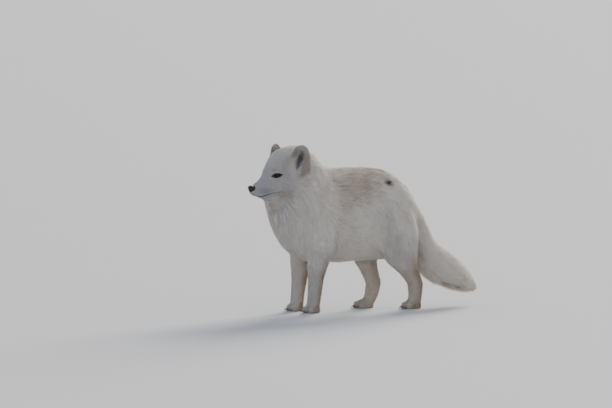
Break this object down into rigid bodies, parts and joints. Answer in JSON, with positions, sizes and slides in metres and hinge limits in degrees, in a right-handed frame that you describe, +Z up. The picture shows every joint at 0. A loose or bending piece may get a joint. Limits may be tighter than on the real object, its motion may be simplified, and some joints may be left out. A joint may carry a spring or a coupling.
{
  "type": "arctic fox",
  "caption": "Life-size still model of an arctic fox standing in its thick white winter coat, with a dusky wash on its back and its brush hanging behind.",
  "frame": {"origin": "on the floor, under the middle of the fox's bounding box", "axes": "+Z up; the fox faces -X with its brush towards +X; its left side is towards -Y"},
  "size_m": [0.6106, 0.164, 0.3846],
  "materials": {
    "white_coat": "soft fur",
    "back_coat": "soft fur",
    "leg_coat": "short fur",
    "ear_coat": "short fur",
    "nose_leather": "moist",
    "eye_gloss": "wet"
  },
  "bodies": {
    "root": {"ear_left": "ear_coat", "ear_right": "ear_coat", "eye_left": "eye_gloss", "eye_right": "eye_gloss", "forearm_left": "leg_coat", "forearm_right": "leg_coat", "front_paw_left": "leg_coat", "front_paw_right": "leg_coat", "head": "white_coat", "hind_paw_left": "leg_coat", "hind_paw_right": "leg_coat", "lower_jaw": "white_coat", "metatarsus_left": "leg_coat", "metatarsus_right": "leg_coat", "neck": "white_coat", "nose": "nose_leather", "shank_left": "leg_coat", "shank_right": "leg_coat", "shoulder_left": "white_coat", "shoulder_right": "white_coat", "tail_brush": "white_coat", "tail_root": "white_coat", "thigh_left": "white_coat", "thigh_right": "white_coat", "trunk": "back_coat"}
  },
  "joints": []
}
